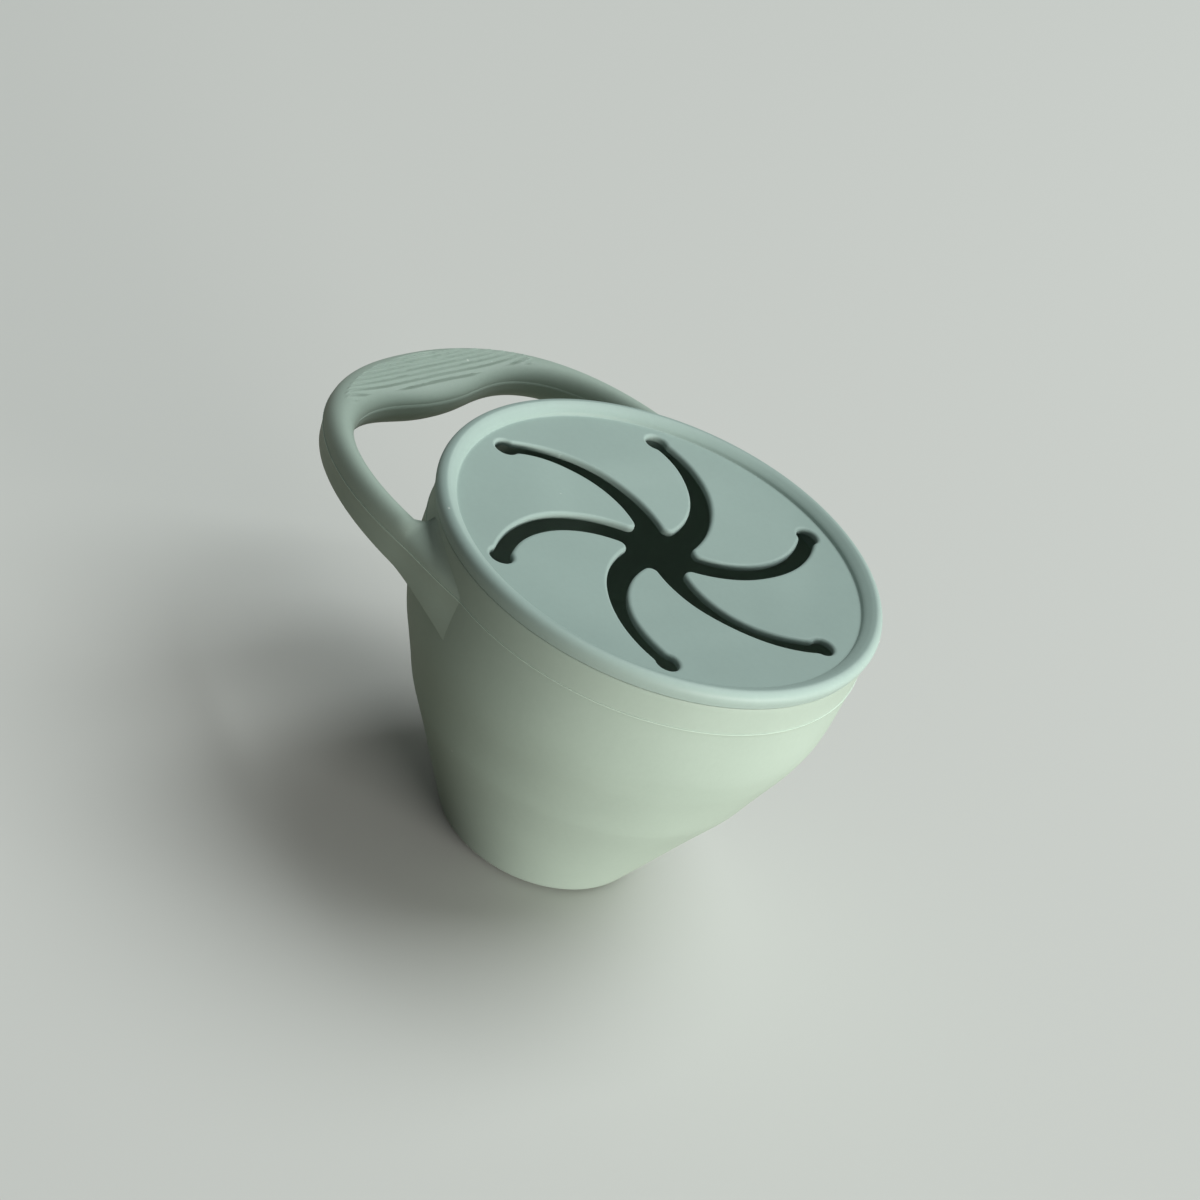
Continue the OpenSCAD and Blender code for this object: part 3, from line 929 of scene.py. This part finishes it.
def silicone(name, colour, surface, roughness, gloss, dust):
    """Matte moulded silicone with a faint bloom."""
    material = bpy.data.materials.new(name)
    material.use_nodes = True
    nodes, links = material.node_tree.nodes, material.node_tree.links
    shader = nodes["Principled BSDF"]
    shader.inputs["IOR"].default_value = SILICONE_IOR
    shader.inputs["Specular IOR Level"].default_value = gloss
    shader.inputs["Sheen Weight"].default_value = BLOOM
    shader.inputs["Sheen Roughness"].default_value = 0.5
    finish = nodes.new("ShaderNodeGroup")
    finish.node_tree = surface
    finish.inputs["Colour"].default_value = colour
    finish.inputs["Roughness"].default_value = roughness
    finish.inputs["Dust"].default_value = dust
    bump = nodes.new("ShaderNodeBump")
    bump.inputs["Strength"].default_value = GRAIN_STRENGTH
    bump.inputs["Distance"].default_value = GRAIN_H * MM
    links.new(finish.outputs["Colour"], shader.inputs["Base Color"])
    links.new(finish.outputs["Roughness"], shader.inputs["Roughness"])
    links.new(finish.outputs["Height"], bump.inputs["Height"])
    links.new(bump.outputs["Normal"], shader.inputs["Normal"])
    return material


def seen_or_cast(tree, seen, cast):
    """One colour for what the camera sees, and another for what is cast on the cup."""
    path = tree.nodes.new("ShaderNodeLightPath")
    mix = tree.nodes.new("ShaderNodeMix")
    mix.data_type = "RGBA"
    mix.inputs["A"].default_value = cast
    mix.inputs["B"].default_value = seen
    tree.links.new(path.outputs["Is Camera Ray"], mix.inputs["Factor"])
    return mix.outputs["Result"]


def floor_paint():
    """Matte paint for the floor."""
    material = bpy.data.materials.new("pale_floor")
    material.use_nodes = True
    nodes = material.node_tree.nodes
    shader = nodes["Principled BSDF"]
    shader.inputs["Roughness"].default_value = 0.9
    shader.inputs["Specular IOR Level"].default_value = 0.1
    mix = seen_or_cast(material.node_tree, FLOOR_COLOUR, FLOOR_BOUNCE)
    material.node_tree.links.new(mix, shader.inputs["Base Color"])
    return material


def paint(piece, material):
    """Gives a piece its one material."""
    piece.data.materials.clear()
    piece.data.materials.append(material)


# ---------------------------------------------------------------- floor, light and camera

# Places and sizes of the studio, in metres; the camera's turn is in degrees and its lens in millimetres
FLOOR_R = 4
FLOOR_GAP = 0.0002
LIGHT_AIM = Vector((0, 0, 0.05))
CAMERA_AT = (0.20204, -0.34397, 0.32200)
CAMERA_TURN = (54.078, -19.761, 45.174)
CAMERA_LENS = 70.49


def make_floor():
    """A wide round floor just under the cup."""
    nothing_selected()
    below = (0, 0, -FLOOR_GAP)
    bpy.ops.mesh.primitive_circle_add(vertices=96, radius=FLOOR_R, fill_type="NGON", location=below)
    floor = named("floor")
    paint(floor, floor_paint())


def area_light(name, at, width, height, power, colour):
    """A rectangular lamp that faces the cup."""
    light = bpy.data.lights.new(name, "AREA")
    light.shape = "RECTANGLE"
    light.size = width
    light.size_y = height
    light.energy = power
    light.color = colour
    lamp = bpy.data.objects.new(name, light)
    lamp.location = at
    lamp.rotation_mode = "QUATERNION"
    lamp.rotation_quaternion = (LIGHT_AIM - Vector(at)).to_track_quat("-Z", "Y")
    bpy.context.scene.collection.objects.link(lamp)


def make_light():
    """A low window to one side, a ceiling lamp and the room's even light."""
    area_light("window", at=(2.6, 0.0, 0.22), width=2.0, height=0.5, power=111, colour=(1.0, 0.96, 0.925))
    area_light("ceiling", at=(0.45, 1.2, 2.6), width=2.0, height=2.0, power=76, colour=(0.95, 0.99, 1.0))
    world = bpy.data.worlds.new("studio")
    world.use_nodes = True
    nodes = world.node_tree.nodes
    nodes["Background"].inputs["Strength"].default_value = 1
    mix = seen_or_cast(world.node_tree, BACKDROP_COLOUR, ROOM_LIGHT)
    world.node_tree.links.new(mix, nodes["Background"].inputs["Color"])
    bpy.context.scene.world = world


def make_camera():
    """The camera, solved from the lid's ellipse and the slits."""
    camera = bpy.data.cameras.new("camera")
    camera.lens = CAMERA_LENS
    camera.sensor_width = 36
    camera.clip_start = 0.01
    view = bpy.data.objects.new("camera", camera)
    view.location = CAMERA_AT
    view.rotation_euler = [math.radians(a) for a in CAMERA_TURN]
    bpy.context.scene.collection.objects.link(view)
    bpy.context.scene.camera = view


make_camera()
surface = silicone_surface()
cup_material = silicone("cup_silicone", CUP_COLOUR, surface, roughness=0.52, gloss=0.4, dust=0.5)
lid_material = silicone("lid_silicone", LID_COLOUR, surface, roughness=0.5, gloss=0.3, dust=1.0)
for piece in (make_cup(), make_handle()):
    paint(piece, cup_material)
for piece in make_lid():
    paint(piece, lid_material)
make_floor()
make_light()
bpy.context.scene.view_settings.view_transform = "Standard"
